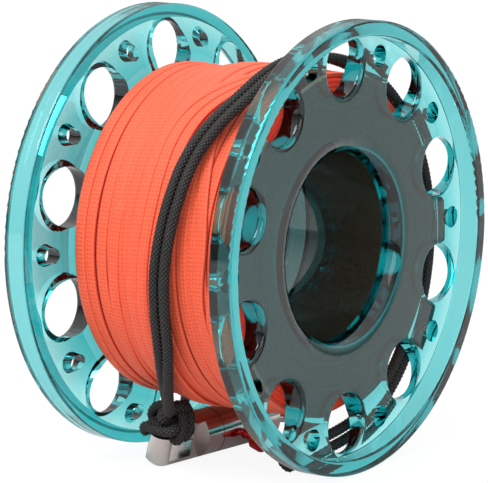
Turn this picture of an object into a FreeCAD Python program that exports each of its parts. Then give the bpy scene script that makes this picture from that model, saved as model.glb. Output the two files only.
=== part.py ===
"""Diver's finger spool: two clear flanged halves wound with braided line, a doubled elastic loop
round the winding, and a small bolt snap hitched on the loop.

Millimetres, +Z up. The spool's axis is X and the origin is the middle of its bore. The spool
stands on its two rims, so the floor is at Z = -rim_radius.
"""
import FreeCAD, Part
import math
import os

from FreeCAD import Placement, Rotation, Vector

# ---- spool halves ----
rim_radius = 50.0
overall_width = 60.5
rim_width = 5.55            # each rim, along the axis
lip_recess = 4.65           # how far the web's outer face lies behind the rim's outer face
lip_inner_radius = 46.6
edge_round = 0.6
flange_slope = 0.341        # near the rim the inner face leans in by this much per mm of radius
slope_inner_radius = 39.0   # inside this it is nearly flat
web_draft = 0.05            # and leans by only this much per mm
bore_radius = 20.7
hub_wall = 2.8
bore_flare_depth = 3.4
bore_flare_radius = 25.2
spigot_length = 4.0
spigot_wall = 1.35
spigot_clearance = 0.05     # radial, between spigot and socket

# ---- holes in each flange ----
hole_count = 10
large_hole_radius = 6.65
large_hole_circle = 79.6
large_hole_flare = 1.2
large_hole_first_angle = 18.0
small_hole_radius = 1.5
small_hole_mouth_radius = 2.5
small_hole_circle = 85.5

# ---- line ----
winding_radii = [           # place along the axis, from -1 to 1, and outer radius of the winding
    (-1.0, 37.6), (-0.81, 37.3), (-0.52, 36.9), (-0.33, 37.9),
    (-0.08, 39.5), (0.19, 38.9), (0.6, 38.5), (1.0, 38.2),
]
winding_clearance = 0.05
anchor_hole_radius = 1.0
anchor_clearance = 0.1      # round the inner end and its knot
anchor_recess_radius = 2.2
anchor_recess_depth = 1.5
anchor_place_x = 10.0
anchor_angle = 215.0        # below -Y, at the front of the hub
line_end_radius = 1.0       # the flat line bunched up where it leaves the winding
line_end_knot_radius = 2.3
line_end_hole = 0           # which of the left flange's small holes it is tied through
line_end_rise = 24.0        # degrees round the spool from where it leaves the winding
line_end_clearance = 0.2    # over the winding
line_end_inset = 2.8        # from the flange's inner face to where it turns outwards
line_end_drift = 1.6        # along the axis, on its way up to that turn
line_end_knot_gap = 0.3     # between the flange and the knot

# ---- elastic loop: a doubled cord ----
cord_diameter = 2.6
cord_gap = 0.05             # between the two strands
cord_clearance = 0.4        # least room between the cord and the winding's largest radius
# place along the axis, angle round the spool from -Y over the top, extra radius, turn of the pair
loop_route = [
    (-6.7, -58.0, 1.3, 60), (-2.6, -47.0, 0.9, 45), (0.7, -36.0, 0.4, 20), (3.0, -26.0, 0.0, 0),
    (4.3, -14.5, 0.0, 0), (5.1, -2.5, 0.0, 0), (6.2, 9.0, 0.0, 0), (7.3, 21.0, 0.0, 0),
    (8.3, 34.0, 0.0, 0), (10.8, 46.5, 0.0, 0), (13.8, 58.5, 0.0, 0), (14.2, 71.5, 0.0, 0),
    (14.4, 85.0, 0.0, 0), (15.2, 99.0, 0.0, 0), (16.1, 113.0, 0.0, 5), (17.0, 127.0, 0.0, 10),
    (17.6, 141.0, 0.0, 20), (18.2, 155.0, 0.0, 35), (18.8, 169.0, 0.2, 50),
    (19.3, 183.0, 0.4, 65), (19.7, 196.0, 0.8, 75), (20.0, 209.0, 1.2, 80),
    (20.3, 221.0, 1.7, 85), (20.5, 233.0, 2.5, 85), (20.3, 247.0, 3.7, 80),
    (19.2, 261.0, 4.4, 70), (17.4, 275.5, 5.5, 55),
]
# the hitch round the nose, in the snap's own frame: along it, towards the near flat, up
hitch_ring_along = 4.0
hitch_ring_aside = 0.8
hitch_ring_rise = 5.3       # its middle, over the top of the nose
hitch_ring_radius = 2.4
hitch_ring_wire = 1.5
hitch_wraps = [3.2, 5.9]    # place of each strand along the snap
hitch_clearance = 0.1       # over the nose
hitch_side_clearance = 0.15  # beside the flats
hitch_wrap_rise = 6.0       # where the strands meet the ring, over the top of the nose
hitch_wrap_drop = 1.5       # how far below that they turn down beside the flats
hitch_wrap_ends = (1.5, -0.5)   # beside the snap's middle, inside the ring
hitch_band_along = 0.9
hitch_band_back = 2.0       # how far its ends run back, beside the flats
hitch_band_rise = 3.0       # and how far up
end_knot_length = 8.0
end_knot_radius = 2.9

# ---- bolt snap, laid out along its own axis from the tip of its nose ----
snap_place = Vector(-11.07, -22.86, -44.75)
snap_yaw = 7.34             # the rear end leans towards +X
snap_roll = 15.0            # the near flat looks down by this much
snap_radius = 5.25
snap_flat = 5.8             # across the flats of the nose and shoulder
nose_height = 2.0           # top of the nose over the axis
nose_end = 3.2
slot_end = 9.9
slot_floor = 3.6            # below the axis
nose_round = 2.4
tip_hole_depth = 0.3        # beyond the bolt's tip
gate_open_gap = 0.1         # of the open bolt's tip from the slot, and of its head from the swivel
shoulder_end = 12.9
hook_end = 18.0
barrel_end = 36.7
barrel_bore_radius = 3.3
hook_spigot_length = 1.5
seam_groove = 0.25
gate_pin_radius = 1.2
gate_clearance = 0.06
gate_tip = 2.7
gate_head_start = 20.0
spring_seat_start = 21.5
spring_coil_radius = 1.45
spring_wire_radius = 0.22
spring_turns = 8
knob_radius = 2.3
knob_stem_radius = 1.2
knob_height = 6.0           # over the barrel
knob_head_length = 3.0
knob_round = 0.7
knob_setback = 1.5          # from the rear of the bolt's head to the knob's axis
knob_lap = 0.5              # of the stem inside the knob
knob_seat_wall = 0.1        # between the spring's seat and the stem
thumb_slot_clearance = 0.2
spring_end_clearance = 0.05
spring_seat_clearance = 0.43
barrel_round = 0.6
plug_length = 1.8
swivel_shank_radius = 1.1
swivel_head_radius = 1.9
swivel_head_length = 1.0
swivel_collar_radius = 2.3
swivel_clearance = 0.08
swivel_end_clearance = 0.1  # of its head and its collar from the plug
swivel_collar_length = 1.2
eye_radius = 3.4            # to the middle of the eye's wire
eye_wire_radius = 1.15

overcut = 1.0               # how far a cutter runs past the face that it opens

half_width = overall_width / 2
hub_radius = bore_radius + hub_wall
rim_inner_x = half_width - rim_width
web_face_x = half_width - lip_recess
spigot_radius = bore_radius + spigot_wall
large_hole_places = [large_hole_first_angle + 360 / hole_count * k for k in range(hole_count)]
small_hole_places = [360 / hole_count * k for k in range(hole_count)]
gate_travel = slot_end - gate_open_gap - gate_tip
swivel_head_start = barrel_end - plug_length - swivel_end_clearance - swivel_head_length
gate_head_end = swivel_head_start - gate_open_gap - gate_travel
knob_centre = gate_head_end - knob_setback
spring_seat_radius = spring_coil_radius + spring_wire_radius + spring_seat_clearance


def inner_face_x(radius):
    """Where the flange's inner face is, at a radius: sloped near the rim, nearly flat inside."""
    sloped = flange_slope * (rim_radius - max(radius, slope_inner_radius))
    flat = web_draft * max(0, slope_inner_radius - radius)
    return rim_inner_x - sloped - flat


def on_circle(x, radius, angle):
    """A point on a circle round the spool's axis; the angle runs from +Y to +Z."""
    turn = math.radians(angle)
    return Vector(x, radius * math.cos(turn), radius * math.sin(turn))


def same(first, second):
    return abs(first - second) < 1e-6


def revolved(points):
    """A solid turned about X from a closed outline of (x, radius) points and arcs."""
    edges = []
    corners = [p for p in points if len(p) == 2]
    through = None
    start = None
    for p in points + [corners[0]]:
        if len(p) == 3:
            through = Vector(p[0], 0, p[1])
            continue
        here = Vector(p[0], 0, p[1])
        if start is not None and through is not None:
            edges.append(Part.Arc(start, through, here).toShape())
        elif start is not None:
            edges.append(Part.LineSegment(start, here).toShape())
        start = here
        through = None
    face = Part.Face(Part.Wire(edges))
    return face.revolve(Vector(0, 0, 0), Vector(1, 0, 0), 360)


def cylinder_x(radius, x_start, x_end, y=0.0, z=0.0):
    return Part.makeCylinder(radius, x_end - x_start, Vector(x_start, y, z), Vector(1, 0, 0))


def hole_cutter(place):
    """One large hole with its rounded mouth, which stops at the rim's lip."""
    centre = on_circle(0, large_hole_circle / 2, place)
    through = cylinder_x(large_hole_radius, 0, half_width + overcut, centre.y, centre.z)
    start = Vector(web_face_x - large_hole_flare, 0, large_hole_radius)
    middle = Vector(
        web_face_x - large_hole_flare * (1 - math.sin(math.pi / 4)), 0,
        large_hole_radius + large_hole_flare * (1 - math.cos(math.pi / 4)))
    end = Vector(web_face_x, 0, large_hole_radius + large_hole_flare)
    outside = web_face_x + overcut
    outline = [
        Part.LineSegment(Vector(start.x, 0, 0), start).toShape(),
        Part.Arc(start, middle, end).toShape(),
        Part.LineSegment(end, Vector(outside, 0, end.z)).toShape(),
        Part.LineSegment(Vector(outside, 0, end.z), Vector(outside, 0, 0)).toShape(),
        Part.LineSegment(Vector(outside, 0, 0), Vector(start.x, 0, 0)).toShape(),
    ]
    mouth = Part.Face(Part.Wire(outline)).revolve(Vector(0, 0, 0), Vector(1, 0, 0), 360)
    mouth.translate(Vector(0, centre.y, centre.z))
    return through.fuse(mouth.common(cylinder_x(lip_inner_radius, 0, half_width)))


def small_hole_cutter(place):
    """One small hole, which widens to the outer face."""
    radius = small_hole_circle / 2
    centre = on_circle(0, radius, place)
    start_x = inner_face_x(radius - small_hole_radius) - overcut
    slope = (small_hole_mouth_radius - small_hole_radius) / (web_face_x - start_x)
    end_x = web_face_x + overcut
    return Part.makeCone(
        small_hole_radius, small_hole_radius + slope * (end_x - start_x), end_x - start_x,
        Vector(start_x, centre.y, centre.z), Vector(1, 0, 0))


def half_blank(joint_outline):
    """A spool half before drilling; joint_outline is its end at the middle of the hub."""
    flare_turn = math.pi / 4
    throat_x = web_face_x - bore_flare_depth
    flare_middle = (
        throat_x + bore_flare_depth * math.sin(flare_turn),
        bore_flare_radius - (bore_flare_radius - bore_radius) * math.cos(flare_turn), "arc")
    outline = joint_outline + [
        (throat_x, bore_radius), flare_middle, (web_face_x, bore_flare_radius),
        (web_face_x, lip_inner_radius), (half_width, lip_inner_radius),
        (half_width, rim_radius), (rim_inner_x, rim_radius),
        (inner_face_x(slope_inner_radius), slope_inner_radius),
        (inner_face_x(hub_radius), hub_radius), (0, hub_radius),
    ]
    blank = revolved(outline)
    rims = [
        edge for edge in blank.Edges
        if len(edge.Vertexes) == 1
        and (same(edge.Curve.Radius, rim_radius)
             or (same(edge.Curve.Radius, lip_inner_radius)
                 and same(edge.Curve.Center.x, half_width)))
    ]
    return blank.makeFillet(edge_round, rims)


def drilled(blank):
    cutters = [hole_cutter(place) for place in large_hole_places]
    cutters += [small_hole_cutter(place) for place in small_hole_places]
    for cutter in cutters:
        blank = blank.cut(cutter)
    return blank


def anchor_cutter():
    """The line's anchor hole through the hub, with a recess for its knot inside the bore."""
    direction = on_circle(0, 1, anchor_angle)
    base = on_circle(anchor_place_x, bore_radius - overcut, anchor_angle)
    recess = Part.makeCylinder(
        anchor_recess_radius, anchor_recess_depth + overcut, base, direction)
    hole = Part.makeCylinder(anchor_hole_radius, hub_wall + 2 * overcut, base, direction)
    return recess.fuse(hole)


def right_half():
    joint = [(0, spigot_radius), (-spigot_length, spigot_radius), (-spigot_length, bore_radius)]
    return drilled(half_blank(joint)).cut(anchor_cutter()).removeSplitter()


def left_half():
    socket = spigot_radius + spigot_clearance
    depth = spigot_length + spigot_clearance
    joint = [(0, socket), (depth, socket), (depth, bore_radius)]
    return mirrored(drilled(half_blank(joint)).removeSplitter())


def mirrored(shape):
    return shape.mirror(Vector(0, 0, 0), Vector(1, 0, 0))


def winding():
    """The wound line as one body, down to the hub and out to its own uneven surface."""
    reach = [inner_face_x(radius) - winding_clearance for _, radius in winding_radii]
    tops = [
        Vector(place * reach[i], 0, radius) for i, (place, radius) in enumerate(winding_radii)
    ]
    surface = Part.BSplineCurve()
    surface.interpolate(tops)
    base = hub_radius + winding_clearance
    corner = inner_face_x(base) - winding_clearance
    outline = Part.Wire([
        surface.toShape(),
        Part.LineSegment(tops[-1], Vector(corner, 0, base)).toShape(),
        Part.LineSegment(Vector(corner, 0, base), Vector(-corner, 0, base)).toShape(),
        Part.LineSegment(Vector(-corner, 0, base), tops[0]).toShape(),
    ])
    return Part.Face(outline).revolve(Vector(0, 0, 0), Vector(1, 0, 0), 360)


def anchor_knot():
    """The line's inner end: it passes through the hub and ends in a flat knot in the recess."""
    direction = on_circle(0, 1, anchor_angle)
    start = on_circle(anchor_place_x, bore_radius + anchor_clearance, anchor_angle)
    knot = Part.makeCylinder(
        anchor_recess_radius - anchor_clearance, anchor_recess_depth - anchor_clearance,
        start, direction)
    tail = Part.makeCylinder(
        anchor_hole_radius - anchor_clearance, hub_wall - anchor_clearance, start, direction)
    return knot.fuse(tail).removeSplitter()


def cord_path(points):
    """Straight runs joined by tangent arcs, each as large as its two runs allow."""
    share = 0.45
    edges = []
    radii = []
    here = points[0]
    for before, corner, after in zip(points, points[1:], points[2:]):
        back = (before - corner).normalize()
        ahead = (after - corner).normalize()
        turn = math.pi - back.getAngle(ahead)
        reach = share * min(corner.distanceToPoint(before), corner.distanceToPoint(after))
        radius = reach / math.tan(turn / 2)
        towards_centre = (back + ahead).normalize()
        start = corner + back * reach
        end = corner + ahead * reach
        middle = corner + towards_centre * (radius / math.cos(turn / 2) - radius)
        edges.append(Part.LineSegment(here, start).toShape())
        edges.append(Part.Arc(start, middle, end).toShape())
        radii.append(radius)
        here = end
    edges.append(Part.LineSegment(here, points[-1]).toShape())
    return Part.Wire(edges), radii


def cord_tube(points, radius, name):
    path, radii = cord_path(points)
    section = Part.Wire(Part.makeCircle(radius, points[0], points[1] - points[0]))
    tube = path.makePipeShell([section], True, False)
    full = math.pi * radius ** 2 * path.Length
    print(name, "length", round(path.Length, 1), "volume share", round(tube.Volume / full, 4),
          "smallest radius", round(min(radii), 1))
    return tube


def loop_points(side):
    """One strand of the elastic loop; side is -1 or 1."""
    over = max(radius for _, radius in winding_radii) + cord_diameter / 2 + cord_clearance
    offset = side * (cord_diameter + cord_gap) / 2
    points = []
    for x, angle, extra, twist in loop_route:
        turn = math.radians(twist)
        radius = over + extra + offset * math.sin(turn)
        points.append(on_circle(x + offset * math.cos(turn), radius, 180 - angle))
    return points


def loop_strands():
    strands = [
        cord_tube(loop_points(side), cord_diameter / 2, "elastic strand") for side in (-1, 1)
    ]
    return Part.makeCompound(strands)


def snap_placement():
    """From the snap's own frame, with its axis along Y, to its place under the spool."""
    roll = Rotation(Vector(0, 1, 0), snap_roll)
    yaw = Rotation(Vector(0, 0, 1), -snap_yaw)
    return Placement(snap_place, yaw.multiply(roll))


def placed_on_snap(shape):
    shape.Placement = snap_placement().multiply(shape.Placement)
    return shape


def hitch():
    """The cord's bight, hitched over the nose: an upper ring, two wraps and a band across."""
    wire = cord_diameter / 2
    ring = Part.makeTorus(hitch_ring_radius, hitch_ring_wire, Vector(0, 0, 0), Vector(1, 0, 0))
    ring.translate(Vector(hitch_ring_aside, hitch_ring_along, nose_height + hitch_ring_rise))
    side = snap_flat / 2 + wire + hitch_side_clearance
    over = nose_height + wire + hitch_clearance
    top = nose_height + hitch_wrap_rise
    bend = top - hitch_wrap_drop
    pieces = []
    for along in hitch_wraps:
        wrap = [
            Vector(hitch_wrap_ends[0], along, top), Vector(side, along, bend),
            Vector(side, along, over), Vector(-side, along, over),
            Vector(-side, along, bend), Vector(hitch_wrap_ends[1], along, top),
        ]
        pieces.append(cord_tube(wrap, wire, "hitch wrap"))
    back = hitch_band_along + hitch_band_back
    raised = over + hitch_band_rise
    band = [
        Vector(-side, back, raised), Vector(-side, hitch_band_along, over),
        Vector(side, hitch_band_along, over), Vector(side, back, raised),
    ]
    pieces.append(cord_tube(band, wire, "hitch band"))
    return placed_on_snap(ring.fuse(pieces))


def line_outer_end():
    """The line's free end: off the winding, out through a small hole and into a stopper knot."""
    angle = small_hole_places[line_end_hole]
    rest = winding_radii[0][1] + line_end_radius + line_end_clearance
    radius = small_hole_circle / 2
    turn_x = -inner_face_x(radius) + line_end_inset
    knot_x = -web_face_x - line_end_knot_radius - line_end_knot_gap
    points = [
        on_circle(turn_x + line_end_drift, rest, angle - line_end_rise),
        on_circle(turn_x + line_end_drift / 2, (rest + radius) / 2, angle - line_end_rise / 2),
        on_circle(turn_x, radius, angle), on_circle(knot_x, radius, angle),
    ]
    tail = cord_tube(points, line_end_radius, "line end")
    knot = Part.makeSphere(line_end_knot_radius)
    knot.Placement = Placement(points[-1], Rotation(Vector(0, 0, 1), Vector(1, 0, 0)))
    return knot.fuse(tail)


def end_knot():
    """The stopper knot in which both ends of the cord are tied."""
    inner = loop_points(-1)
    outer = loop_points(1)
    start = (inner[-1] + outer[-1]) * 0.5
    along = ((inner[-1] - inner[-2]) + (outer[-1] - outer[-2])).normalize()
    ball = Part.makeSphere(end_knot_radius)
    stretch = FreeCAD.Matrix()
    stretch.scale(Vector(1, 1, end_knot_length / (2 * end_knot_radius)))
    knot = ball.transformGeometry(stretch)
    knot.Placement = Placement(
        start + along * (end_knot_length / 2), Rotation(Vector(0, 0, 1), along))
    return knot


def rod(radius, start, end):
    return Part.makeCylinder(radius, end - start, Vector(0, start, 0), Vector(0, 1, 0))


def snap_hook():
    """Nose, slot, shoulder and the front of the round body, milled from one bar."""
    wide = 4 * snap_radius
    half_flat = snap_flat / 2
    body = rod(snap_radius, 0, hook_end)
    body = body.makeFillet(nose_round, [e for e in body.Edges if same(e.BoundBox.YMax, 0)])
    near = Part.makeBox(
        wide, shoulder_end + overcut, wide, Vector(half_flat, -overcut, -wide / 2))
    far = near.mirror(Vector(0, 0, 0), Vector(1, 0, 0))
    dome = Part.makeCylinder(half_flat, wide, Vector(0, half_flat, -wide / 2))
    behind = Part.makeBox(2 * wide, hook_end, wide, Vector(-wide, half_flat, -wide / 2))
    above = Part.makeBox(
        wide, slot_end + overcut, wide, Vector(-wide / 2, -overcut, nose_height))
    slot = Part.makeBox(wide, slot_end - nose_end, wide, Vector(-wide / 2, nose_end, -slot_floor))
    body = body.cut(near).cut(far).common(dome.fuse(behind)).cut(above).cut(slot)
    pin_room = gate_pin_radius + gate_clearance
    tip_hole = rod(pin_room, gate_tip - tip_hole_depth, nose_end + overcut)
    gate_hole = rod(pin_room, slot_end - overcut, hook_end + hook_spigot_length + overcut)
    spigot = rod(barrel_bore_radius, hook_end, hook_end + hook_spigot_length)
    groove = rod(snap_radius + overcut, hook_end - seam_groove, hook_end + overcut).cut(
        rod(snap_radius - seam_groove, 0, barrel_end))
    body = body.cut(groove).fuse(spigot).cut(tip_hole).cut(gate_hole)
    return placed_on_snap(body.removeSplitter())


def thumb_slot():
    """The slot in the barrel that the knob's stem slides in."""
    half = knob_stem_radius + thumb_slot_clearance
    depth = snap_radius + overcut
    start = knob_centre
    end = knob_centre + gate_travel
    block = Part.makeBox(depth, end - start, 2 * half, Vector(0, start, -half))
    for y in (start, end):
        block = block.fuse(Part.makeCylinder(half, depth, Vector(0, y, 0), Vector(1, 0, 0)))
    return block


def snap_barrel():
    barrel = rod(snap_radius, hook_end, barrel_end).cut(
        rod(barrel_bore_radius, hook_end - overcut, barrel_end + overcut))
    ends = [
        e for e in barrel.Edges
        if len(e.Vertexes) == 1 and same(e.Curve.Radius, snap_radius)
        and same(e.Curve.Center.y, barrel_end)
    ]
    barrel = barrel.makeFillet(barrel_round, ends)
    return placed_on_snap(barrel.cut(thumb_slot()))


def snap_gate():
    """The sliding bolt: a pin that closes the slot, and a head with a seat for the spring."""
    pin = rod(gate_pin_radius, gate_tip, gate_head_start + overcut)
    head = rod(barrel_bore_radius - gate_clearance, gate_head_start, gate_head_end)
    seat = rod(spring_seat_radius, spring_seat_start, gate_head_end + overcut)
    return placed_on_snap(pin.fuse(head).cut(seat).removeSplitter())


def thumb_knob():
    """A headed stud screwed into the side of the bolt's head."""
    axis = Vector(1, 0, 0)
    stem_start = spring_seat_radius + knob_seat_wall
    under_head = snap_radius + knob_height - knob_head_length
    stem = Part.makeCylinder(
        knob_stem_radius, under_head + knob_lap - stem_start,
        Vector(stem_start, knob_centre, 0), axis)
    head = Part.makeCylinder(
        knob_radius, knob_head_length, Vector(under_head, knob_centre, 0), axis)
    outer = [e for e in head.Edges if same(e.BoundBox.XMin, snap_radius + knob_height)]
    head = head.makeFillet(knob_round, outer)
    return placed_on_snap(stem.fuse(head).removeSplitter())


def gate_spring():
    """A plain compression spring between the bolt's seat and the end plug."""
    start = spring_seat_start + spring_wire_radius + spring_end_clearance
    end = swivel_head_start - spring_wire_radius - spring_end_clearance
    pitch = (end - start) / spring_turns
    helix = Part.makeHelix(pitch, end - start, spring_coil_radius)
    section = Part.Wire(Part.makeCircle(
        spring_wire_radius, Vector(spring_coil_radius, 0, 0), Vector(0, 1, 0)))
    coil = Part.Wire(helix).makePipeShell([section], True, True)
    coil.Placement = Placement(Vector(0, start, 0), Rotation(Vector(1, 0, 0), -90))
    return placed_on_snap(coil)


def end_plug():
    """Closes the barrel's rear end and carries the swivel."""
    plug = rod(barrel_bore_radius, barrel_end - plug_length, barrel_end)
    bore = rod(swivel_shank_radius + swivel_clearance, 0, barrel_end + overcut)
    return placed_on_snap(plug.cut(bore))


def swivel_eye():
    """The rear eye, on a riveted shank that turns in the end plug."""
    head = rod(swivel_head_radius, swivel_head_start, swivel_head_start + swivel_head_length)
    collar_end = barrel_end + swivel_collar_length
    shank = rod(swivel_shank_radius, swivel_head_start, collar_end)
    collar = rod(swivel_collar_radius, barrel_end + swivel_end_clearance, collar_end)
    centre = Vector(0, collar_end + eye_radius, 0)
    eye = Part.makeTorus(eye_radius, eye_wire_radius, centre, Vector(0, 0, 1))
    return placed_on_snap(head.fuse([shank, collar, eye]).removeSplitter())


def write(name, shape):
    solids = shape.Solids
    if not solids or not all(s.isValid() for s in solids):
        raise ValueError("not a sound solid: " + name)
    shape.exportStep("parts/" + name + ".step")
    box = shape.BoundBox
    print("%-20s solids %d volume %.1f  x %.2f %.2f  y %.2f %.2f  z %.2f %.2f" % (
        name, len(solids), shape.Volume, box.XMin, box.XMax, box.YMin, box.YMax,
        box.ZMin, box.ZMax))


os.makedirs("parts", exist_ok=True)
write("right_spool_half", right_half())
write("left_spool_half", left_half())
write("line_winding", winding())
write("line_anchor_knot", anchor_knot())
write("line_outer_end", line_outer_end())
write("elastic_loop", loop_strands())
write("elastic_hitch", hitch())
write("elastic_end_knot", end_knot())
write("snap_hook", snap_hook())
write("snap_barrel", snap_barrel())
knob = thumb_knob()
write("thumb_knob", knob)
write("snap_gate", snap_gate().cut(knob))
write("gate_spring", gate_spring())
write("end_plug", end_plug())
write("swivel_eye", swivel_eye())
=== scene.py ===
import math

import bpy
import numpy as np
from mathutils import Matrix, Quaternion, Vector


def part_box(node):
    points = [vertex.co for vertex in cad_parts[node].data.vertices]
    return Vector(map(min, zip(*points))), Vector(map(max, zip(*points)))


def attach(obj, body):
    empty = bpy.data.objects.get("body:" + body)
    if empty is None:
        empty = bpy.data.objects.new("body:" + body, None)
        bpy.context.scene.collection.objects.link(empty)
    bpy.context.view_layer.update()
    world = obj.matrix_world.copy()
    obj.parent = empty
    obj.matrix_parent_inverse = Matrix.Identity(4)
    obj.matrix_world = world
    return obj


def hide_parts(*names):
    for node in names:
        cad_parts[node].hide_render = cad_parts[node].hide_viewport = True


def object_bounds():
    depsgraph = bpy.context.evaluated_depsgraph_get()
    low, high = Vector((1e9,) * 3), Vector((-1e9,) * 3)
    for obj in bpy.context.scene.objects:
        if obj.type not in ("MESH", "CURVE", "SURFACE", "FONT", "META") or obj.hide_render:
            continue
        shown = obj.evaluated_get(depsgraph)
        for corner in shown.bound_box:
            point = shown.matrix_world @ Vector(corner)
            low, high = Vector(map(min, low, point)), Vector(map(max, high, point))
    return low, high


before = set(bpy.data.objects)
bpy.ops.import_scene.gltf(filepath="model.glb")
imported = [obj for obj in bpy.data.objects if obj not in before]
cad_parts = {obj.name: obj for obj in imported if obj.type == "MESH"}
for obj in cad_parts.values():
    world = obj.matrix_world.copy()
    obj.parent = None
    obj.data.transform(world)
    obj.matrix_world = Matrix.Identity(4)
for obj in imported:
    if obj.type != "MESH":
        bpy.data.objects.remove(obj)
cad_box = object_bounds()
mm = 0.001

# ---------------------------------------------------------------- stage, lamps and camera
# The spool stands on its rims on a plain white sheet, under two large soft lamps.
# It is seen from its right front, a little from above, with a long lens.
scene = bpy.context.scene
scene.view_settings.view_transform = "Standard"
floor_height = cad_box[0][2]

sheet_half = 3.0
sheet_seen = 0.86            # share of the sheet's look that is plain white, the rest is lit
sheet_white = 1.06
gloss_share = 0.04           # share of that white in what the metal and plastic mirror
studio_heights = [           # height of a direction, and how bright the room is there
    (0.0, 0.16), (0.47, 0.22), (0.56, 0.30), (0.66, 0.75), (0.80, 1.30), (1.0, 1.30),
]


def seen_rays(tree):
    """1 for rays from the camera or through plastic, a small share for mirrored ones, else 0."""
    path = tree.nodes.new("ShaderNodeLightPath")
    gloss = tree.nodes.new("ShaderNodeMath")
    gloss.operation = "MULTIPLY"
    gloss.inputs[1].default_value = gloss_share
    first = tree.nodes.new("ShaderNodeMath")
    first.operation = "MAXIMUM"
    both = tree.nodes.new("ShaderNodeMath")
    both.operation = "MAXIMUM"
    tree.links.new(path.outputs["Is Glossy Ray"], gloss.inputs[0])
    tree.links.new(path.outputs["Is Camera Ray"], first.inputs[0])
    tree.links.new(path.outputs["Is Transmission Ray"], first.inputs[1])
    tree.links.new(first.outputs[0], both.inputs[0])
    tree.links.new(gloss.outputs[0], both.inputs[1])
    return both.outputs[0]


studio = bpy.data.worlds.new("studio")
scene.world = studio
studio.use_nodes = True
studio.node_tree.nodes.clear()
room_place = studio.node_tree.nodes.new("ShaderNodeTexCoord")
room_height = studio.node_tree.nodes.new("ShaderNodeSeparateXYZ")
room_scale = studio.node_tree.nodes.new("ShaderNodeMapRange")
room_scale.inputs["From Min"].default_value = -1.0
room_light = studio.node_tree.nodes.new("ShaderNodeValToRGB")
room_stops = room_light.color_ramp.elements
while len(room_stops) < len(studio_heights):
    room_stops.new(0.5)
for stop, (height, light) in zip(room_stops, studio_heights):
    stop.position = height
    stop.color = (light, light, light, 1)
lit_room = studio.node_tree.nodes.new("ShaderNodeBackground")
seen_room = studio.node_tree.nodes.new("ShaderNodeBackground")
seen_room.inputs["Color"].default_value = (1, 1, 1, 1)
room_mix = studio.node_tree.nodes.new("ShaderNodeMixShader")
room_out = studio.node_tree.nodes.new("ShaderNodeOutputWorld")
studio.node_tree.links.new(room_place.outputs["Generated"], room_height.inputs[0])
studio.node_tree.links.new(room_height.outputs["Z"], room_scale.inputs["Value"])
studio.node_tree.links.new(room_scale.outputs["Result"], room_light.inputs["Fac"])
studio.node_tree.links.new(room_light.outputs["Color"], lit_room.inputs["Color"])
studio.node_tree.links.new(seen_rays(studio.node_tree), room_mix.inputs["Fac"])
studio.node_tree.links.new(lit_room.outputs[0], room_mix.inputs[1])
studio.node_tree.links.new(seen_room.outputs[0], room_mix.inputs[2])
studio.node_tree.links.new(room_mix.outputs[0], room_out.inputs["Surface"])

paper = bpy.data.materials.new("white_sheet")
paper.use_nodes = True
paper.node_tree.nodes.clear()
paper_lit = paper.node_tree.nodes.new("ShaderNodeBsdfDiffuse")
paper_lit.inputs["Color"].default_value = (0.68, 0.68, 0.68, 1)
paper_white = paper.node_tree.nodes.new("ShaderNodeEmission")
paper_white.inputs["Strength"].default_value = sheet_white
paper_share = paper.node_tree.nodes.new("ShaderNodeMath")
paper_share.operation = "MULTIPLY"
paper_share.inputs[1].default_value = sheet_seen
paper_mix = paper.node_tree.nodes.new("ShaderNodeMixShader")
paper_out = paper.node_tree.nodes.new("ShaderNodeOutputMaterial")
paper.node_tree.links.new(seen_rays(paper.node_tree), paper_share.inputs[0])
paper.node_tree.links.new(paper_share.outputs[0], paper_mix.inputs["Fac"])
paper.node_tree.links.new(paper_lit.outputs[0], paper_mix.inputs[1])
paper.node_tree.links.new(paper_white.outputs[0], paper_mix.inputs[2])
paper.node_tree.links.new(paper_mix.outputs[0], paper_out.inputs["Surface"])

sheet_mesh = bpy.data.meshes.new("floor_sheet")
sheet_mesh.from_pydata(
    [(x * sheet_half, y * sheet_half, floor_height) for x, y in ((-1, -1), (1, -1), (1, 1), (-1, 1))],
    [], [(0, 1, 2, 3)])
sheet = bpy.data.objects.new("floor_sheet", sheet_mesh)
scene.collection.objects.link(sheet)
sheet.data.materials.append(paper)


def soft_lamp(name, place, size, power):
    data = bpy.data.lights.new(name, "AREA")
    data.shape = "SQUARE"
    data.size = size
    data.energy = power
    lamp = bpy.data.objects.new(name, data)
    lamp.location = place
    lamp.rotation_mode = "QUATERNION"
    lamp.rotation_quaternion = Vector(place).to_track_quat("Z", "Y")
    scene.collection.objects.link(lamp)


soft_lamp("key_lamp", (-0.35, -0.95, 1.35), 0.9, 17.0)
soft_lamp("fill_lamp", (1.4, -0.9, 0.6), 0.8, 4.0)

camera_turn = math.radians(35.641)
camera_rise = math.radians(11.077)
camera_roll = math.radians(-0.502)
camera_distance = 0.78668
camera_lens = 260.7          # on a sensor 36 mm wide
camera_shift = (-0.0149, -0.0130)
looking = Vector((
    -math.sin(camera_turn) * math.cos(camera_rise),
    math.cos(camera_turn) * math.cos(camera_rise), -math.sin(camera_rise)))
level = Vector((math.cos(camera_turn), math.sin(camera_turn), 0))
upward = level.cross(looking)
right = level * math.cos(camera_roll) + upward * math.sin(camera_roll)
top = upward * math.cos(camera_roll) - level * math.sin(camera_roll)
camera_data = bpy.data.cameras.new("camera")
camera_data.sensor_width = 36.0
camera_data.lens = camera_lens
camera_data.shift_x, camera_data.shift_y = camera_shift
camera = bpy.data.objects.new("camera", camera_data)
camera.matrix_world = Matrix.Translation(-looking * camera_distance) @ Matrix(
    (right, top, -looking)).transposed().to_4x4()
scene.collection.objects.link(camera)
scene.camera = camera

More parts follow.
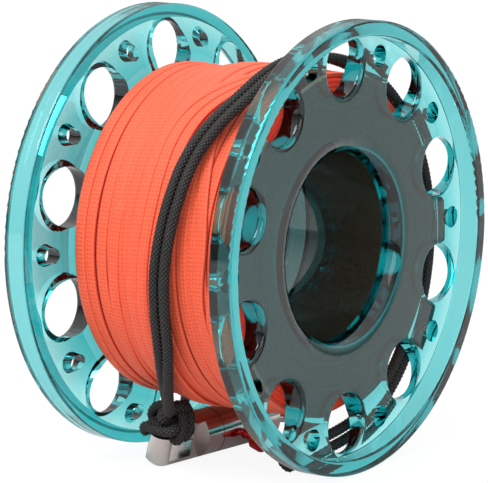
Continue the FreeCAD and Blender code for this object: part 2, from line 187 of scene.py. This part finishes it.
# ---------------------------------------------------------------- the two clear halves
# Each flange and its half of the hub is one moulding in clear cyan polycarbonate, polished
# all over. The two are pressed and bonded together at the middle of the hub.
clear_ior = 1.56
clear_density = 450.0        # per metre, for the colour that the plastic takes out most
clear_tint = (0.04, 0.77, 0.785, 1.0)
clear_shadow = (0.80, 0.97, 0.97, 1.0)


def principled(name):
    """A new material and its one Principled node."""
    material = bpy.data.materials.new(name)
    material.use_nodes = True
    shader = material.node_tree.nodes["Principled BSDF"]
    return material, shader


def surface_detail():
    """Fine polishing marks and handling haze, from the place on the piece."""
    group = bpy.data.node_groups.new("surface_detail", "ShaderNodeTree")
    group.interface.new_socket("Scale", in_out="INPUT", socket_type="NodeSocketFloat")
    group.interface.new_socket("Smooth", in_out="INPUT", socket_type="NodeSocketFloat")
    group.interface.new_socket("Hazy", in_out="INPUT", socket_type="NodeSocketFloat")
    group.interface.new_socket("Roughness", in_out="OUTPUT", socket_type="NodeSocketFloat")
    group.interface.new_socket("Height", in_out="OUTPUT", socket_type="NodeSocketFloat")
    given = group.nodes.new("NodeGroupInput")
    made = group.nodes.new("NodeGroupOutput")
    place = group.nodes.new("ShaderNodeTexCoord")
    marks = group.nodes.new("ShaderNodeTexNoise")
    marks.inputs["Detail"].default_value = 4.0
    haze = group.nodes.new("ShaderNodeMapRange")
    haze.inputs["From Min"].default_value = 0.4
    haze.inputs["From Max"].default_value = 0.75
    group.links.new(place.outputs["Object"], marks.inputs["Vector"])
    group.links.new(given.outputs["Scale"], marks.inputs["Scale"])
    group.links.new(marks.outputs["Fac"], haze.inputs["Value"])
    group.links.new(given.outputs["Smooth"], haze.inputs["To Min"])
    group.links.new(given.outputs["Hazy"], haze.inputs["To Max"])
    group.links.new(haze.outputs["Result"], made.inputs["Roughness"])
    group.links.new(marks.outputs["Fac"], made.inputs["Height"])
    return group


detail_group = surface_detail()


def add_detail(material, shader, scale, smooth, hazy, bump):
    """Roughness and a faint bump from the shared detail group."""
    tree = material.node_tree
    detail = tree.nodes.new("ShaderNodeGroup")
    detail.node_tree = detail_group
    detail.inputs["Scale"].default_value = scale
    detail.inputs["Smooth"].default_value = smooth
    detail.inputs["Hazy"].default_value = hazy
    relief = tree.nodes.new("ShaderNodeBump")
    relief.inputs["Strength"].default_value = bump
    relief.inputs["Distance"].default_value = 0.0001
    tree.links.new(detail.outputs["Roughness"], shader.inputs["Roughness"])
    tree.links.new(detail.outputs["Height"], relief.inputs["Height"])
    tree.links.new(relief.outputs["Normal"], shader.inputs["Normal"])


clear, clear_shader = principled("clear_cyan_plastic")
clear_shader.inputs["Base Color"].default_value = (1.0, 1.0, 1.0, 1.0)
clear_shader.inputs["Transmission Weight"].default_value = 1.0
clear_shader.inputs["IOR"].default_value = clear_ior
add_detail(clear, clear_shader, 160.0, 0.0, 0.02, 0.05)
clear_tree = clear.node_tree
clear_path = clear_tree.nodes.new("ShaderNodeLightPath")
clear_through = clear_tree.nodes.new("ShaderNodeBsdfTransparent")
clear_through.inputs["Color"].default_value = clear_shadow
clear_mix = clear_tree.nodes.new("ShaderNodeMixShader")
clear_depth = clear_tree.nodes.new("ShaderNodeVolumeAbsorption")
clear_depth.inputs["Color"].default_value = clear_tint
clear_depth.inputs["Density"].default_value = clear_density
clear_out = clear_tree.nodes["Material Output"]
clear_tree.links.new(clear_path.outputs["Is Shadow Ray"], clear_mix.inputs["Fac"])
clear_tree.links.new(clear_shader.outputs[0], clear_mix.inputs[1])
clear_tree.links.new(clear_through.outputs[0], clear_mix.inputs[2])
clear_tree.links.new(clear_mix.outputs[0], clear_out.inputs["Surface"])
clear_tree.links.new(clear_depth.outputs[0], clear_out.inputs["Volume"])


def finish_node(name, material):
    """Gives a CAD piece its finish."""
    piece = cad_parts[name]
    piece.data.materials.clear()
    piece.data.materials.append(material)


for half in ("right_spool_half", "left_spool_half"):
    finish_node(half, clear)

# ---------------------------------------------------------------- the wound line
# About thirty metres of flat woven line, 3 mm wide, wound in layers between the flanges.
# The outer layer is laid turn by turn. A band of three turns side by side crosses over it,
# and three more turns cross singly.
line_width = 3.0 * mm
line_thickness = 1.1 * mm
lay_depth = 0.55 * line_thickness     # from the winding's outside to a turn's middle
side_gap = 0.1 * mm          # from a turn's edge to the flange
line_colour = (0.98, 0.118, 0.043, 1.0)
# The colour below is painted shade: a darker copy of the line's orange, put at each turn's edges and
# in the hollows of its weave.
line_painted_shade_colour = (0.42, 0.014, 0.006, 1.0)
hub_radius = 23.6 * mm
side_slope = 0.05            # of each flange's inner face, inside the winding
side_start = 20.95 * mm      # where that face is at the next radius
side_radius = 39.0 * mm
winding_profile = [           # place along the axis and radius of the layer under the crossings
    (-20.8, 37.5), (-17, 37.3), (-12, 37.0), (-8.6, 37.0), (-6.4, 37.7), (-4, 38.4), (-1, 38.7),
    (4, 38.5), (8, 38.4), (12.5, 38.3), (20.9, 37.9),
]


def side_x(radius):
    """Where a flange's inner face is."""
    return side_start - side_slope * (side_radius - radius)


def outer_radius(x):
    places, radii = zip(*winding_profile)
    return np.interp(x / mm, places, radii) * mm


def mesh_piece(name, points, faces, material, uvs=None, smooth=True):
    """A new mesh object; uvs, if given, is one (u, v) for each point."""
    mesh = bpy.data.meshes.new(name)
    mesh.from_pydata([tuple(p) for p in points], [], [tuple(int(i) for i in f) for f in faces])
    if uvs is not None:
        layer = mesh.uv_layers.new(name="along")
        corners = np.empty(len(mesh.loops), dtype=np.int32)
        mesh.loops.foreach_get("vertex_index", corners)
        layer.data.foreach_set("uv", np.asarray(uvs, dtype=np.float32)[corners].ravel())
    mesh.polygons.foreach_set("use_smooth", [smooth] * len(mesh.polygons))
    mesh.materials.append(material)
    mesh.update()
    piece = bpy.data.objects.new(name, mesh)
    scene.collection.objects.link(piece)
    return piece


def grid_faces(rows, columns, close_rows=False, close_columns=True, start=0):
    """Quads over a grid of points laid out row by row."""
    row_count = rows if close_rows else rows - 1
    column_count = columns if close_columns else columns - 1
    faces = []
    for i in range(row_count):
        for j in range(column_count):
            a = i * columns + j
            b = i * columns + (j + 1) % columns
            c = ((i + 1) % rows) * columns + (j + 1) % columns
            d = ((i + 1) % rows) * columns + j
            faces.append((start + a, start + b, start + c, start + d))
    return faces


def woven_line():
    """The line's flat weave, from its length and width: a diamond relief, which also places painted
    shade in its hollows, and a mask for painted shade at the line's edges.
    """
    group = bpy.data.node_groups.new("woven_line", "ShaderNodeTree")
    for name in ("Along Scale", "Across Scale"):
        group.interface.new_socket(name, in_out="INPUT", socket_type="NodeSocketFloat")
    group.interface.new_socket("Height", in_out="OUTPUT", socket_type="NodeSocketFloat")
    group.interface.new_socket("Edge", in_out="OUTPUT", socket_type="NodeSocketFloat")
    given = group.nodes.new("NodeGroupInput")
    made = group.nodes.new("NodeGroupOutput")
    place = group.nodes.new("ShaderNodeUVMap")
    place.uv_map = "along"
    split = group.nodes.new("ShaderNodeSeparateXYZ")
    group.links.new(place.outputs["UV"], split.inputs[0])

    def math_node(operation, first, second=None):
        node = group.nodes.new("ShaderNodeMath")
        node.operation = operation
        for socket, value in zip(node.inputs, (first, second)):
            if value is None:
                continue
            if isinstance(value, (int, float)):
                socket.default_value = value
            else:
                group.links.new(value, socket)
        return node.outputs[0]

    along = math_node("MULTIPLY", split.outputs["X"], given.outputs["Along Scale"])
    across = math_node("MULTIPLY", split.outputs["Y"], given.outputs["Across Scale"])
    rising = math_node("SINE", math_node("ADD", along, across))
    falling = math_node("SINE", math_node("SUBTRACT", along, across))
    woven = math_node("MULTIPLY", rising, falling)
    group.links.new(math_node("ADD", math_node("MULTIPLY", woven, 0.5), 0.5), made.inputs["Height"])
    from_middle = math_node("ABSOLUTE", math_node("SUBTRACT", split.outputs["Y"], 0.5))
    edge = math_node("POWER", math_node("MULTIPLY", from_middle, 2.0), 14.0)
    group.links.new(edge, made.inputs["Edge"])
    return group


line_finish, line_shader = principled("orange_woven_line")
line_shader.inputs["Roughness"].default_value = 0.62
line_shader.inputs["Sheen Weight"].default_value = 0.16
line_shader.inputs["Sheen Roughness"].default_value = 0.4
line_shader.inputs["Sheen Tint"].default_value = (1.0, 0.75, 0.65, 1.0)
line_tree = line_finish.node_tree
line_weave = line_tree.nodes.new("ShaderNodeGroup")
line_weave.node_tree = woven_line()
line_weave.inputs["Along Scale"].default_value = 3400.0      # radians for each metre of line
line_weave.inputs["Across Scale"].default_value = 11.0       # radians across its width
line_shade = line_tree.nodes.new("ShaderNodeMix")
line_shade.data_type = "RGBA"
line_shade.inputs["A"].default_value = line_colour
line_shade.inputs["B"].default_value = line_painted_shade_colour
# Painted shade: the hollows of the weave and the line's edges take a share of the darker copy of the
# line's colour.
line_weave_painted_shade = line_tree.nodes.new("ShaderNodeMath")
line_weave_painted_shade.operation = "MULTIPLY_ADD"
line_weave_painted_shade.inputs[1].default_value = -0.6
line_weave_painted_shade.inputs[2].default_value = 0.45
line_most = line_tree.nodes.new("ShaderNodeMath")
line_most.operation = "MAXIMUM"
line_relief = line_tree.nodes.new("ShaderNodeBump")
line_relief.inputs["Strength"].default_value = 0.8
line_relief.inputs["Distance"].default_value = 0.00015
line_tree.links.new(line_weave.outputs["Height"], line_weave_painted_shade.inputs[0])
line_tree.links.new(line_weave_painted_shade.outputs[0], line_most.inputs[0])
line_tree.links.new(line_weave.outputs["Edge"], line_most.inputs[1])
line_tree.links.new(line_most.outputs[0], line_shade.inputs["Factor"])
line_tree.links.new(line_shade.outputs["Result"], line_shader.inputs["Base Color"])
line_tree.links.new(line_weave.outputs["Height"], line_relief.inputs["Height"])
line_tree.links.new(line_relief.outputs["Normal"], line_shader.inputs["Normal"])

section_corners = 14


def line_section():
    """The line's own section, across and out: flat, with rounded edges and a slight crown."""
    turn = np.linspace(0, 2 * math.pi, section_corners, endpoint=False)
    across = np.sign(np.cos(turn)) * np.abs(np.cos(turn)) ** 0.45 * line_width / 2
    out = np.sign(np.sin(turn)) * np.abs(np.sin(turn)) ** 0.75 * line_thickness / 2
    return across, out


def laid_line(angles, x, radius, tilt):
    """Points and (u, v) of a length of line laid round the spool.

    The line's middle is at x and radius at each angle; tilt lifts its right edge."""
    across, out = line_section()
    lean = np.cos(tilt)[:, None] * across - np.sin(tilt)[:, None] * out
    rise = np.sin(tilt)[:, None] * across + np.cos(tilt)[:, None] * out
    px = x[:, None] + lean
    pr = radius[:, None] + rise
    py = -pr * np.cos(angles)[:, None]
    pz = pr * np.sin(angles)[:, None]
    points = np.stack([px, py, pz], 2).reshape(-1, 3)
    length = np.concatenate([[0], np.cumsum(np.abs(np.diff(angles)) * radius[1:])])
    u = np.repeat(length, section_corners)
    v = np.tile(across / line_width + 0.5, len(angles))
    return points, np.stack([u, v], 1)


turn_places = [              # of the outer layer's turns along the axis
    -19.3, -16.6, -13.85, -11.1, -8.45, -5.6, -2.75, 0.1, 2.95, 5.8, 8.6, 11.4, 14.2, 16.9, 19.2,
]
steps_per_turn = 220
layer_angle = np.linspace(0, 2 * math.pi * len(turn_places), steps_per_turn * len(turn_places) + 1)
turn_number = layer_angle / (2 * math.pi)
step_over = 0.16             # share of a turn in which the line steps over to its next place
whole = np.floor(np.minimum(turn_number, len(turn_places) - 1e-6)).astype(int)
part = np.clip((turn_number - whole - (1 - step_over)) / step_over, 0, 1)
part = part * part * (3 - 2 * part)
following = np.minimum(whole + 1, len(turn_places) - 1)
places = np.array(turn_places) * mm
layer_x = places[whole] * (1 - part) + places[following] * part
wander = 0.22 * mm * np.sin(layer_angle + whole * 1.7) + 0.12 * mm * np.sin(3 * layer_angle + whole)
layer_x = layer_x + wander
layer_start = math.radians(150)
layer_radius = outer_radius(layer_x) - lay_depth
layer_tilt = np.radians(4.0 + 3.0 * np.sin(layer_angle * 0.7 + whole * 2.1))
reach = np.array([side_x(r) for r in layer_radius]) - line_width / 2 - side_gap
layer_x = np.clip(layer_x, -reach, reach)
layer_points, layer_uvs = laid_line(layer_angle + layer_start, layer_x, layer_radius, layer_tilt)
winding_points = [layer_points]
winding_uvs = [layer_uvs]
winding_faces = grid_faces(len(layer_angle), section_corners)
point_count = len(layer_points)

# turns that cross over the layer: places along the axis against the angle from -Y over the
# top, how far they stand over the layer, and how many lie side by side
crossing_turns = [
    ([(-82, -4.6), (-62, -5.5), (-45, -5.6), (-25, -5.3), (-8, -4.0), (8, -3.0), (22, -2.2),
      (37, -2.6), (48, -2.4), (60, -0.3), (78, 8.2), (95, 12.5)], 0.78, 3),
    ([(-70, 13.9), (-40, 12.6), (-22, 14.6), (-6, 17.2), (12, 18.6), (40, 18.9)], 0.5, 1),
    ([(-50, 15.6), (-15, 12.7), (8, 14.4), (24, 12.8), (48, 9.5), (66, 9.0)], 0.55, 1),
    ([(-95, -15.5), (-60, -13.2), (-30, -11.6), (0, -10.2), (30, -9.6)], 0.25, 1),
]
crossing_pitch = 2.85 * mm
crossing_steps = 200
crossing_ramp = 8            # a crossing turn rises over one part in this many of its length
crossing_dip = 1.0           # how far its hidden ends lie under the layer
smooth_span = 25             # steps over which its bends are evened out
for waypoints, lift, beside in crossing_turns:
    for k in range(beside):
        share = np.linspace(0, 1, crossing_steps)
        stops, stop_places = np.array(waypoints, dtype=float).T
        angles = np.radians(stops[0] + (stops[-1] - stops[0]) * share)
        x = np.interp(np.degrees(angles), stops, stop_places)
        x = np.convolve(
            np.pad(x, smooth_span // 2, mode="edge"), np.ones(smooth_span) / smooth_span,
            mode="valid") * mm
        x = x + k * crossing_pitch
        rise = np.minimum(1, np.minimum(share, 1 - share) * crossing_ramp)
        rise = rise * rise * (3 - 2 * rise)
        radius = outer_radius(x) - lay_depth + (lift * rise - crossing_dip * (1 - rise)) * mm
        tilt = np.radians(5.0 + 3.0 * np.cos(share * math.pi + k))
        reach = np.array([side_x(r) for r in radius]) - line_width / 2 - side_gap
        points, uvs = laid_line(angles, np.clip(x, -reach, reach), radius, tilt)
        winding_points.append(points)
        winding_uvs.append(uvs)
        winding_faces += grid_faces(len(angles), section_corners, start=point_count)
        point_count += len(points)

winding = mesh_piece(
    "wound_line", np.concatenate(winding_points), winding_faces, line_finish,
    np.concatenate(winding_uvs))
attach(winding, "spool")

# The layers under the outer one show at the sides, edge on: each turn's edge is a rounded
# ridge, and the ridges run round as fine rings.
# The colour of these side layers is painted shade: a darker copy of the line's orange, with a random
# tone across it from the noise.
line_layers_shaded_finish, under_shader = principled("line_layers")
under_shader.inputs["Roughness"].default_value = 0.75
under_tree = line_layers_shaded_finish.node_tree
under_place = under_tree.nodes.new("ShaderNodeTexCoord")
under_noise = under_tree.nodes.new("ShaderNodeTexNoise")
under_noise.inputs["Scale"].default_value = 900.0
# Both stops are painted shade, darker than the line's own colour; the noise between them is random
# tone.
under_painted_shade_ramp = under_tree.nodes.new("ShaderNodeValToRGB")
under_painted_shade_ramp.color_ramp.elements[0].color = (0.62, 0.016, 0.006, 1)
under_painted_shade_ramp.color_ramp.elements[1].color = (1.0, 0.062, 0.02, 1)
under_relief = under_tree.nodes.new("ShaderNodeBump")
under_relief.inputs["Strength"].default_value = 0.6
under_relief.inputs["Distance"].default_value = 0.0002
under_tree.links.new(under_place.outputs["Object"], under_noise.inputs["Vector"])
under_tree.links.new(under_noise.outputs["Fac"], under_painted_shade_ramp.inputs["Fac"])
under_tree.links.new(under_painted_shade_ramp.outputs["Color"], under_shader.inputs["Base Color"])
under_tree.links.new(under_noise.outputs["Fac"], under_relief.inputs["Height"])
under_tree.links.new(under_relief.outputs["Normal"], under_shader.inputs["Normal"])

ridge_depth = 0.35 * mm
ridge_points = 5
layer_count = int((37.0 * mm - hub_radius) / line_thickness)
under_profile = []
for side in (-1, 1):
    edge = []
    for layer in range(layer_count):
        for k in range(ridge_points):
            share = k / ridge_points
            radius = hub_radius + (layer + share) * line_thickness
            bulge = math.sqrt(max(0.0, 1 - (2 * share - 1) ** 2))
            inset = ridge_depth * (1 - bulge) + 0.08 * mm
            edge.append((side * (side_x(radius) - inset), radius, layer))
    under_profile.append(edge)
left_edge, right_edge = under_profile
under_top = [
    (x * mm, outer_radius(x * mm) - line_thickness * 1.05, layer_count)
    for x in np.linspace(-19.9, 19.9, 40)
]
under_outline = list(reversed(right_edge)) + left_edge + under_top
around = 240
turn = np.linspace(0, 2 * math.pi, around, endpoint=False)
under_points = []
for x, radius, layer in under_outline:
    unevenness = 0.07 * mm * np.sin(2 * turn + layer * 1.9) + 0.05 * mm * np.sin(5 * turn + layer)
    wavy = radius + (unevenness if 0 < layer < layer_count else 0)
    under_points.append(np.stack([
        np.full(around, x), wavy * np.cos(turn), wavy * np.sin(turn)], 1))
under = mesh_piece(
    "line_layers", np.concatenate(under_points),
    grid_faces(len(under_outline), around, close_rows=True), line_layers_shaded_finish)
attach(under, "spool")
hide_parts("line_winding")

# ---------------------------------------------------------------- the line's two ends
# The inner end passes through the hub to a flat knot in the bore's wall. The outer end goes
# out through a small hole of the left flange to a knot.
# The knots take the side layers' finish, whose darker colour is painted shade.
finish_node("line_anchor_knot", line_layers_shaded_finish)
finish_node("line_outer_end", line_layers_shaded_finish)

# ---------------------------------------------------------------- the elastic loop
# One elastic cord with a woven black cover, drawn 2.4 mm thick, doubled and knotted into a loop.
# Its two strands lie side by side round the winding and go down behind the right flange.
cord_radius = 1.2 * mm
cord_over = 41.2 * mm         # the pair's usual distance from the axis
strand_gap = 2.65 * mm
# place along the axis, angle from -Y over the top, extra radius, turn of the pair
loop_route = [
    (-6.7, -58.0, 1.3, 60), (-2.6, -47.0, 0.9, 45), (0.7, -36.0, 0.4, 20), (3.0, -26.0, 0.0, 0),
    (4.3, -14.5, 0.0, 0), (5.1, -2.5, 0.0, 0), (6.2, 9.0, 0.0, 0), (7.3, 21.0, 0.0, 0),
    (8.3, 34.0, 0.0, 0), (10.8, 46.5, 0.0, 0), (13.8, 58.5, 0.0, 0), (14.2, 71.5, 0.0, 0),
    (14.4, 85.0, 0.0, 0), (15.2, 99.0, 0.0, 0), (16.1, 113.0, 0.0, 5), (17.0, 127.0, 0.0, 10),
    (17.6, 141.0, 0.0, 20), (18.2, 155.0, 0.0, 35), (18.8, 169.0, 0.2, 50),
    (19.3, 183.0, 0.4, 65), (19.7, 196.0, 0.8, 75), (20.0, 209.0, 1.2, 80),
    (20.3, 221.0, 1.7, 85), (20.5, 233.0, 2.5, 85), (20.3, 247.0, 3.7, 80),
    (19.2, 261.0, 4.4, 70), (17.4, 275.5, 5.5, 55),
]


def spline_points(route, spacing, closed=False):
    """Evenly spaced points along the smooth line of a route."""
    curve = bpy.data.curves.new("route", "CURVE")
    curve.dimensions = "3D"
    spline = curve.splines.new("NURBS")
    spline.points.add(len(route) - 1)
    for point, place in zip(spline.points, route):
        point.co = (*place, 1.0)
    spline.order_u = 3
    spline.use_endpoint_u = not closed
    spline.use_cyclic_u = closed
    spline.resolution_u = 24
    holder = bpy.data.objects.new("route", curve)
    line = bpy.data.meshes.new_from_object(holder)
    found = np.array([v.co[:] for v in line.vertices])
    bpy.data.objects.remove(holder)
    bpy.data.curves.remove(curve)
    bpy.data.meshes.remove(line)
    if closed:
        found = np.concatenate([found, found[:1]])
    length = np.concatenate([[0], np.cumsum(np.linalg.norm(np.diff(found, axis=0), axis=1))])
    count = max(4, int(round(length[-1] / spacing)))
    wanted = np.linspace(0, length[-1], count + 1)
    even = np.stack([np.interp(wanted, length, found[:, k]) for k in range(3)], 1)
    return (even[:-1] if closed else even), length[-1]


yarns = 8                     # each way round the cord's cover
yarn_step = 1.05 * mm
yarn_depth = 0.32 * mm
around_cord = 40


def braided_cord(routes, radius, closed=False):
    """Points, faces and cover height of lengths of cord with a woven cover."""
    all_points = []
    all_faces = []
    all_relief = []
    count = 0
    for route in routes:
        path, length = spline_points(route, 0.17 * mm, closed)
        steps = len(path)
        if closed:
            ahead = np.roll(path, -1, 0) - np.roll(path, 1, 0)
        else:
            ahead = np.gradient(path, axis=0)
        ahead /= np.linalg.norm(ahead, axis=1)[:, None]
        side = np.empty_like(path)
        first = np.cross(ahead[0], (0.31, 0.85, 0.42))
        side[0] = first / np.linalg.norm(first)
        for i in range(1, steps):
            carried = side[i - 1] - ahead[i] * np.dot(side[i - 1], ahead[i])
            side[i] = carried / np.linalg.norm(carried)
        other = np.cross(ahead, side)
        around_angle = np.linspace(0, 2 * math.pi, around_cord, endpoint=False)
        a = around_angle[None, :] * yarns / (2 * math.pi)
        steps_along = max(2, 2 * round(length / yarn_step / 2))
        b = np.arange(steps)[:, None] / steps * steps_along
        u = a + b
        v = a - b
        weave = np.sin(math.pi * u) * np.sin(math.pi * v)
        over = 0.5 + 0.5 * np.tanh(4 * weave)
        one = 1 - (2 * (v - np.floor(v)) - 1) ** 2
        two = 1 - (2 * (u - np.floor(u)) - 1) ** 2
        relief = (over * one + (1 - over) * two) * (0.25 + 0.75 * np.abs(weave))
        thick = radius + yarn_depth * (relief - 0.75)
        if not closed:
            from_end = np.minimum(np.arange(steps), np.arange(steps)[::-1]) * length / steps
            thick = thick * np.sqrt(np.clip(from_end / (0.6 * radius), 0.03, 1))[:, None]
        ring = (np.cos(around_angle)[None, :, None] * side[:, None, :]
                + np.sin(around_angle)[None, :, None] * other[:, None, :])
        points = path[:, None, :] + thick[:, :, None] * ring
        all_points.append(points.reshape(-1, 3))
        all_faces += grid_faces(steps, around_cord, close_rows=closed, start=count)
        if not closed:
            last = count + (steps - 1) * around_cord
            all_faces.append(tuple(range(count + around_cord - 1, count - 1, -1)))
            all_faces.append(tuple(range(last, last + around_cord)))
        all_relief.append(relief.ravel())
        count += steps * around_cord
    return np.concatenate(all_points), all_faces, np.concatenate(all_relief)


cord_finish, cord_shader = principled("black_woven_cover")
cord_shader.inputs["Roughness"].default_value = 0.55
cord_shader.inputs["Specular IOR Level"].default_value = 0.35
cord_tree = cord_finish.node_tree
cord_place = cord_tree.nodes.new("ShaderNodeTexCoord")
cord_noise = cord_tree.nodes.new("ShaderNodeTexNoise")
cord_noise.inputs["Scale"].default_value = 2600.0
# Painted shade and painted highlight: the cover's colour runs from near black in the braid's gaps to
# dark grey on the yarn tops, by the cover's height, with a random tone from the noise.
cord_shade_and_highlight_ramp = cord_tree.nodes.new("ShaderNodeValToRGB")
cord_shade_and_highlight_ramp.color_ramp.elements[0].position = 0.3
cord_shade_and_highlight_ramp.color_ramp.elements[0].color = (0.0015, 0.0015, 0.0015, 1)
cord_shade_and_highlight_ramp.color_ramp.elements[1].position = 0.95
cord_shade_and_highlight_ramp.color_ramp.elements[1].color = (0.085, 0.072, 0.07, 1)
cord_height = cord_tree.nodes.new("ShaderNodeAttribute")
cord_height.attribute_name = "cover_height"
cord_fibre = cord_tree.nodes.new("ShaderNodeMath")
cord_fibre.operation = "MULTIPLY_ADD"
cord_fibre.inputs[1].default_value = 1.0
cord_fibre.inputs[2].default_value = 0.4
cord_shade_and_highlight_share = cord_tree.nodes.new("ShaderNodeMath")
cord_shade_and_highlight_share.operation = "MULTIPLY"
cord_tree.links.new(cord_place.outputs["Object"], cord_noise.inputs["Vector"])
cord_tree.links.new(cord_noise.outputs["Fac"], cord_fibre.inputs[0])
cord_tree.links.new(cord_fibre.outputs[0], cord_shade_and_highlight_share.inputs[0])
cord_tree.links.new(cord_height.outputs["Fac"], cord_shade_and_highlight_share.inputs[1])
cord_tree.links.new(cord_shade_and_highlight_share.outputs[0], cord_shade_and_highlight_ramp.inputs["Fac"])
cord_tree.links.new(cord_shade_and_highlight_ramp.outputs["Color"], cord_shader.inputs["Base Color"])


def cord_piece(name, lengths):
    """One piece from lengths of cord: each is its routes, its radius and whether it closes."""
    points = []
    faces = []
    heights = []
    for routes, radius, closed in lengths:
        start = sum(len(p) for p in points)
        more, more_faces, height = braided_cord(routes, radius, closed)
        points.append(more)
        faces += [tuple(i + start for i in face) for face in more_faces]
        heights.append(height)
    piece = mesh_piece(name, np.concatenate(points), faces, cord_finish)
    # The cover's height, which the finish turns into painted shade in the gaps and painted highlight
    # on the yarn tops.
    cover = piece.data.attributes.new("cover_height", "FLOAT", "POINT")
    cover.data.foreach_set("value", np.concatenate(heights).astype(np.float32))
    return piece


def loop_strand(side):
    """The route of one strand of the pair, in metres."""
    offset = side * strand_gap / 2
    route = []
    for x, angle, extra, twist in loop_route:
        lean = math.radians(twist)
        radius = cord_over + extra * mm + offset * math.sin(lean)
        around_spool = math.radians(angle)
        route.append((
            x * mm + offset * math.cos(lean), -radius * math.cos(around_spool),
            radius * math.sin(around_spool)))
    return route


strands = [loop_strand(side) for side in (-1, 1)]
loop = cord_piece("elastic_cord", [(strands, cord_radius, False)])
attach(loop, "spool")
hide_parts("elastic_loop")

# ---------------------------------------------------------------- the hitch on the snap
# The loop's bight is hitched over the snap's nose: a ring above, two wraps down the near side
# and over the bolt, and a band across the nose.
snap_nose = Vector((-11.07, -22.86, -44.75)) * mm
snap_turn = (Quaternion((0, 0, 1), math.radians(-7.34)) @ Quaternion((0, 1, 0), math.radians(15)))


def on_snap(along, aside, up):
    """From the snap's own frame: along it from the nose, towards the near flat, and up."""
    return tuple(snap_nose + snap_turn @ (Vector((aside, along, up)) * mm))


ring_middle = (3.6, 1.7, 7.5)
ring_half = (2.9, 2.15)
ring_route = []
for k in range(10):
    angle = 2 * math.pi * k / 10
    ring_route.append(on_snap(
        ring_middle[0] + ring_half[0] * math.cos(angle),
        ring_middle[1] + 0.9 * math.cos(angle - 0.6),
        ring_middle[2] + ring_half[1] * math.sin(angle)))
wrap_routes = []
for k, along in enumerate((3.3, 5.5)):
    wrap_routes.append([
        on_snap(along + 1.0, 0.4, 9.6), on_snap(along + 0.6, 3.2, 9.0),
        on_snap(along + 0.2, 4.9, 6.8), on_snap(along, 4.9, 3.6),
        on_snap(along, 3.9, 1.6 + 0.6 * k), on_snap(along, 1.2, 3.2), on_snap(along, -2.5, 3.5),
        on_snap(along, -4.9, 4.4), on_snap(along - 0.4, -3.8, 7.4), on_snap(along - 0.6, -1.0, 9.0)])
band_routes = []
for k, along in enumerate((0.5, 2.3)):
    band_routes.append([
        on_snap(4.2, 3.6, 6.3), on_snap(along + 1.4, 4.4, 5.4), on_snap(along, 2.9, 4.2 + 0.4 * k),
        on_snap(along - 0.3, -0.5, 3.6 + 0.3 * k), on_snap(along, -3.6, 3.1 + 0.3 * k),
        on_snap(along + 1.0, -4.6, 1.4), on_snap(along + 2.2, -4.4, 0.2)])
hitch = cord_piece("cord_hitch", [
    ([ring_route], 1.55 * mm, True), (wrap_routes, 1.15 * mm, False),
    (band_routes, 1.2 * mm, False)])
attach(hitch, "spool")
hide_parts("elastic_hitch")

# ---------------------------------------------------------------- the cord's end knot
# Both ends of the cord are tied together in a short wrapped stopper knot behind the right
# flange's rim, low down.
knot_low, knot_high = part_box("elastic_end_knot")
knot_middle = (knot_low + knot_high) / 2
strand_ends = [Vector(route[-1]) for route in strands]
strand_before = [Vector(route[-2]) for route in strands]
knot_axis = (sum(strand_ends, Vector()) - sum(strand_before, Vector())).normalized()
knot_side = knot_axis.orthogonal().normalized()
knot_other = knot_axis.cross(knot_side)
knot_turns = 2.75
knot_pitch = 2.25 * mm
knot_coil = 1.62 * mm
knot_route = []
for k in range(int(knot_turns * 8) + 1):
    turns = k / 8
    swell = knot_coil * (0.82 + 0.18 * math.sin(math.pi * turns / knot_turns))
    angle = 2 * math.pi * turns
    knot_route.append(tuple(
        knot_middle + knot_axis * (turns - knot_turns / 2) * knot_pitch
        + (knot_side * math.cos(angle) + knot_other * math.sin(angle)) * swell))
core_route = [
    tuple(knot_middle + knot_axis * share * 4.2 * mm + knot_side * 0.25 * mm * math.sin(share * 5))
    for share in (-1.0, -0.5, 0.0, 0.5, 1.0)
]
knot = cord_piece("cord_end_knot", [
    ([knot_route], 1.22 * mm, False), ([core_route], 1.2 * mm, False)])
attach(knot, "spool")
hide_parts("elastic_end_knot")

# ---------------------------------------------------------------- the bolt snap
# A small snap turned and milled from stainless bar and polished: hook, barrel, sliding bolt,
# end plug and swivel eye.
steel, steel_shader = principled("polished_steel")
steel_shader.inputs["Base Color"].default_value = (0.62, 0.58, 0.565, 1.0)
steel_shader.inputs["Metallic"].default_value = 1.0
add_detail(steel, steel_shader, 420.0, 0.10, 0.2, 0.12)
for name in ("snap_hook", "snap_barrel", "snap_gate", "end_plug", "swivel_eye"):
    finish_node(name, steel)

# ---------------------------------------------------------------- the snap's spring
# A plain coil of drawn wire behind the bolt.
wire, wire_shader = principled("spring_wire")
wire_shader.inputs["Base Color"].default_value = (0.5, 0.5, 0.51, 1.0)
wire_shader.inputs["Metallic"].default_value = 1.0
add_detail(wire, wire_shader, 900.0, 0.22, 0.4, 0.1)
finish_node("gate_spring", wire)

# ---------------------------------------------------------------- the thumb knob
# A headed aluminium stud, red anodised, screwed into the bolt.
red, red_shader = principled("red_anodised")
red_shader.inputs["Base Color"].default_value = (0.72, 0.012, 0.012, 1.0)
red_shader.inputs["Metallic"].default_value = 0.75
red_shader.inputs["Coat Weight"].default_value = 0.3
add_detail(red, red_shader, 500.0, 0.22, 0.38, 0.1)
finish_node("thumb_knob", red)
